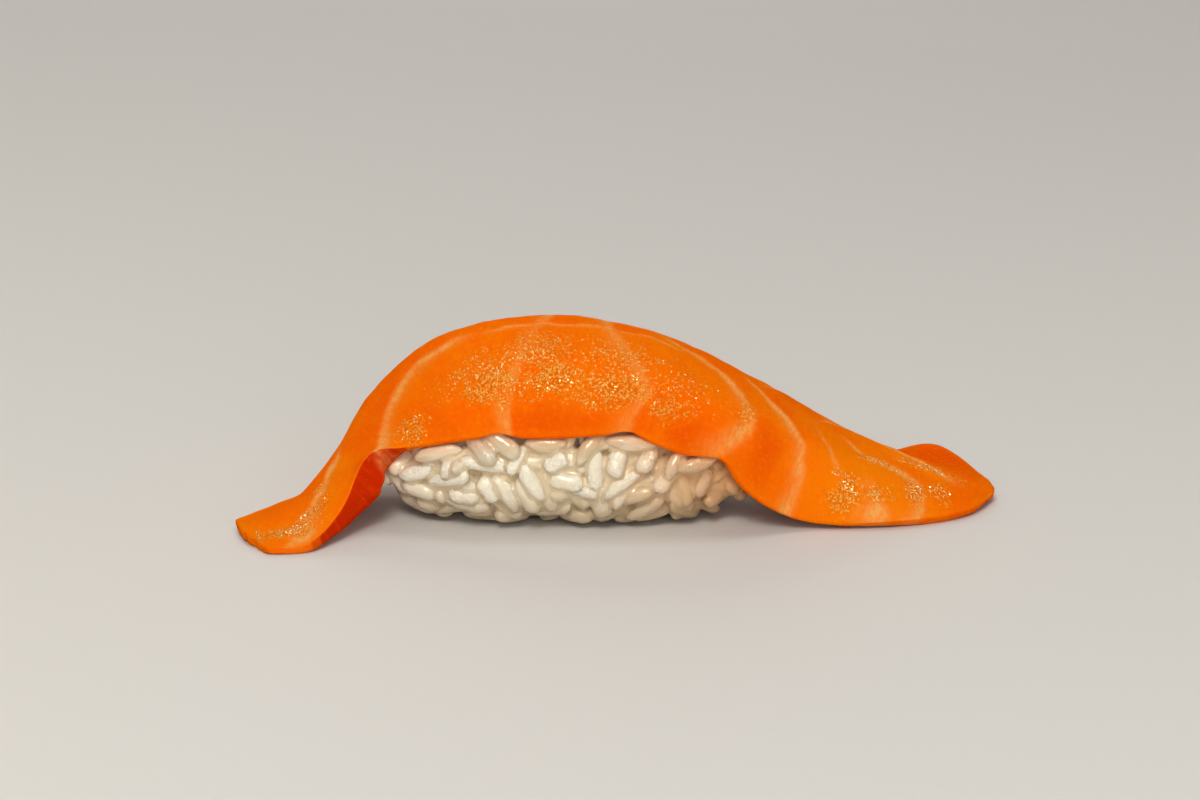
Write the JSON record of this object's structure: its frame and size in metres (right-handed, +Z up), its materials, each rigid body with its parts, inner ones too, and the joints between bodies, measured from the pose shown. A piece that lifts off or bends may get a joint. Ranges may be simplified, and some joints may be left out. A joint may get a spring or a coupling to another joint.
{
  "type": "salmon nigiri",
  "caption": "Hand-pressed block of sushi rice under a long, thin slice of raw salmon that drapes past both ends, with white fat lines and wet gloss.",
  "frame": {"origin": "centre of the whole piece, on the surface that it stands on", "axes": "+Z up; +X along the slice, towards the wide round tail; -Y towards the side that shows most rice"},
  "size_m": [0.1106, 0.0398, 0.0283],
  "materials": {
    "rice": "cooked short-grain rice, moist and slightly translucent",
    "salmon": "raw salmon, wet and translucent, with pale fat lines"
  },
  "bodies": {
    "root": {"rice_block": "rice", "salmon_slice": "salmon"}
  },
  "joints": []
}
